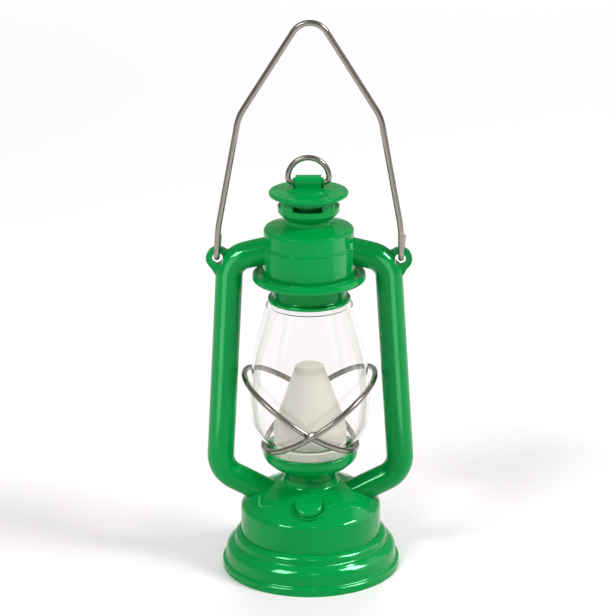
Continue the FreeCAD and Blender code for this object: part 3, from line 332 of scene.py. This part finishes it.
FLOOR_HALF = 4.0
# painted shade: the floor is darker round the object, against the lamps' bright pool there, and tinted pink
# against green light thrown back from the object
FLOOR_NEAR_PAINTED_SHADE_COLOUR, FLOOR_FAR_COLOUR = (0.875, 0.84, 0.865), (0.97, 0.96, 0.98)
FLOOR_FADE_START, FLOOR_FADE_END = 0.08, 0.4
corners = [(x * FLOOR_HALF, y * FLOOR_HALF, 0) for x, y in ((-1, -1), (1, -1), (1, 1), (-1, 1))]
floor_mesh = bpy.data.meshes.new("floor")
floor_mesh.from_pydata(corners, [], [(0, 1, 2, 3)])
floor = bpy.data.objects.new("floor", floor_mesh)
bpy.context.scene.collection.objects.link(floor)
paper = floor_paper_with_painted_shade(FLOOR_NEAR_PAINTED_SHADE_COLOUR, FLOOR_FAR_COLOUR, FLOOR_FADE_START, FLOOR_FADE_END)
floor_mesh.materials.append(paper)

world = bpy.data.worlds.new("studio")
world.use_nodes = True
bpy.context.scene.world = world
background = world.node_tree.nodes["Background"]
background.inputs["Color"].default_value = (1.0, 1.0, 1.0, 1)
background.inputs["Strength"].default_value = SKY_STRENGTH
bpy.context.scene.view_settings.view_transform = "Standard"

for node, thing in frame["nodes"].items():
    thing.data.materials.clear()
    thing.data.materials.append(MATERIALS[NODE_SLOT[node]])


# ---------------------------------------------------------------- pieces
def spun(name, profile, sides=256, closed=False):
    """Surface of revolution about Z from a profile of (radius, height) pairs.

    Each point is radius times the cosine of the turn, radius times its sine, and the height. The turn goes
    once round in equal steps. A closed profile joins its last pair to its first.
    """
    profile = np.asarray(profile)
    turns = np.linspace(0, 2 * math.pi, sides, endpoint=False)
    r, z = profile[:, :1], profile[:, 1:]
    points = np.stack([r * np.cos(turns), r * np.sin(turns), np.broadcast_to(z, (len(profile), sides))], -1)
    return surface(name, points, wrap_u=closed, wrap_v=True)


def surface(name, points, wrap_u=False, wrap_v=False, caps=False):
    """Quad mesh over a grid of points in rows and columns.

    Point (u, v) joins its neighbours u + 1 and v + 1. wrap_u joins the last row to the first, wrap_v the last
    column to the first, and caps closes the first and last rows with one face each.
    """
    rows, columns = points.shape[:2]
    index = np.arange(rows * columns).reshape(rows, columns)
    if wrap_u:
        index = np.vstack([index, index[:1]])
    if wrap_v:
        index = np.hstack([index, index[:, :1]])
    faces = np.stack([index[:-1, :-1], index[:-1, 1:], index[1:, 1:], index[1:, :-1]], -1).reshape(-1, 4)
    mesh = bpy.data.meshes.new(name)
    faces = faces.tolist()
    if caps:
        faces += [list(range(columns))[::-1], list(range((rows - 1) * columns, rows * columns))]
    mesh.from_pydata(points.reshape(-1, 3).tolist(), [], faces)
    mesh.shade_smooth()
    piece = bpy.data.objects.new(name, mesh)
    bpy.context.scene.collection.objects.link(piece)
    return piece


def rounded(points, steps=14):
    """Line with rounded corners through (radius, height) or (radius, height, corner radius) points.

    A corner of half angle h and radius r becomes an arc about the point r over the sine of h along the
    corner's bisector. It starts and ends r over the tangent of h from the corner, in equal steps.
    """
    parts = []
    for i, point in enumerate(points):
        here = np.array(point[:2], float)
        if len(point) < 3:
            parts.append(here[None])
            continue
        before = np.array(points[i - 1][:2], float) - here
        after = np.array(points[i + 1][:2], float) - here
        before /= np.linalg.norm(before)
        after /= np.linalg.norm(after)
        half = math.acos(np.clip(before @ after, -1, 1)) / 2
        middle = before + after
        centre = here + middle / np.linalg.norm(middle) * point[2] / math.sin(half)
        first = here + before * point[2] / math.tan(half) - centre
        last = here + after * point[2] / math.tan(half) - centre
        sweep = math.atan2(first[0] * last[1] - first[1] * last[0], first @ last)
        a = np.linspace(0, sweep, steps + 1)
        parts.append(centre + np.stack([first[0] * np.cos(a) - first[1] * np.sin(a),
                                        first[0] * np.sin(a) + first[1] * np.cos(a)], -1))
    return np.vstack(parts)


def offset(line, wall):
    """The line moved to its left.

    Each point moves by wall times the unit normal of the line through its two neighbours.
    """
    line = np.asarray(line)
    along = np.gradient(line, axis=0)
    along /= np.linalg.norm(along, axis=1, keepdims=True)
    return line + wall * np.stack([-along[:, 1], along[:, 0]], -1)


# ---------------------------------------------------------------- globe
GLOBE_FOOT_R, GLOBE_BELLY_R, GLOBE_TOP_R, GLOBE_NECK_R = 17.9, 25.7, 18.2, 13.6
GLOBE_WALL = 0.8
GLOBE_HEIGHTS = (4.6, 13.2, 27.2, 44.2, 68.0, 69.5)     # above the globe's foot, in millimetres
GLOBE_ROUNDS = (4.0, 14.0, 40.0, 60.0, 1.2, 0.6)
GLOBE_RADII = (GLOBE_FOOT_R, GLOBE_BELLY_R - 0.7, GLOBE_BELLY_R, GLOBE_BELLY_R - 1.5,
               GLOBE_TOP_R, GLOBE_NECK_R)
globe_low, globe_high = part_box("globe")
foot_z, neck_z = globe_low[2] / MM, globe_high[2] / MM
corners = [(r, foot_z + height, turn) for r, height, turn in zip(GLOBE_RADII, GLOBE_HEIGHTS, GLOBE_ROUNDS)]
outside = rounded([(GLOBE_FOOT_R, foot_z)] + corners + [(GLOBE_NECK_R, neck_z)])
loop = np.vstack([outside, offset(outside, GLOBE_WALL)[::-1]]) * MM
globe = spun("globe_glass", loop, closed=True)
globe.data.materials.append(MATERIALS["clear_plastic"])
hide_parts("globe")
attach(globe, "lantern")


# ---------------------------------------------------------------- weld where the guard hoops cross
WELD_RIPPLE, WELD_RIDGES = 0.05, 7
WELD_HALF_SIZES = (3.6 * MM, 1.5 * MM, 1.55 * MM)
WELD_X, WELD_Z, WELD_INSET = 1.2 * MM, 69.2 * MM, 1.5 * MM


def bead(name, centre, half_sizes, slope, rows=24, columns=48):
    """Rippled ellipsoid turned about Y by slope, on a grid of latitude p and longitude q.

    Along its axis a point lies at the first half size times the sine of p. Across it, it lies at the second
    half size times the cosines of p and q, and at the third times the cosine of p and the sine of q. Both are
    multiplied by one plus WELD_RIPPLE times the sine of WELD_RIDGES q times the cosine of p.
    """
    p, q = np.meshgrid(np.linspace(-math.pi / 2, math.pi / 2, rows + 2)[1:-1],
                       np.linspace(0, 2 * math.pi, columns, endpoint=False), indexing="ij")
    ripple = 1 + WELD_RIPPLE * np.sin(WELD_RIDGES * q) * np.cos(p)
    x, y, z = (half_sizes[0] * np.sin(p), half_sizes[1] * np.cos(p) * np.cos(q) * ripple,
               half_sizes[2] * np.cos(p) * np.sin(q) * ripple)
    cosine, sine = math.cos(slope), math.sin(slope)
    turned = np.stack([x * cosine - z * sine, y, x * sine + z * cosine], -1)
    return surface(name, turned + np.asarray(centre), wrap_v=True, caps=True)


GUARD_TILT = math.radians(34.0)
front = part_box("guard_hoop_outer")[0][1]
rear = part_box("guard_hoop_outer")[1][1]
for name, y in (("weld_front", front + WELD_INSET), ("weld_back", rear - WELD_INSET)):
    weld = bead(name, (WELD_X, y, WELD_Z), WELD_HALF_SIZES, GUARD_TILT)
    weld.data.materials.append(MATERIALS["nickel_wire"])
    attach(weld, "lantern")
    for lamp in WIRE_LAMPS:
        lamp.light_linking.receiver_collection.objects.link(weld)


# ---------------------------------------------------------------- drum liner
LINER_R, LINER_WALL, LINER_EDGE = 9.6, 0.6, 0.1
LINER_LOW_BELOW, LINER_TOP_BELOW = 6.0, 1.2
drum_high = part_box("vent_crown")[1][2] / MM
liner_low, liner_top = drum_high - LINER_LOW_BELOW, drum_high - LINER_TOP_BELOW
heights = [liner_low, liner_low + LINER_EDGE, liner_top - LINER_EDGE, liner_top]
loop = [(LINER_R, z) for z in heights] + [(LINER_R - LINER_WALL, z) for z in reversed(heights)]
liner = spun("drum_liner", np.array(loop) * MM, closed=True)
liner.data.materials.append(MATERIALS["green_plastic"])
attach(liner, "lantern")
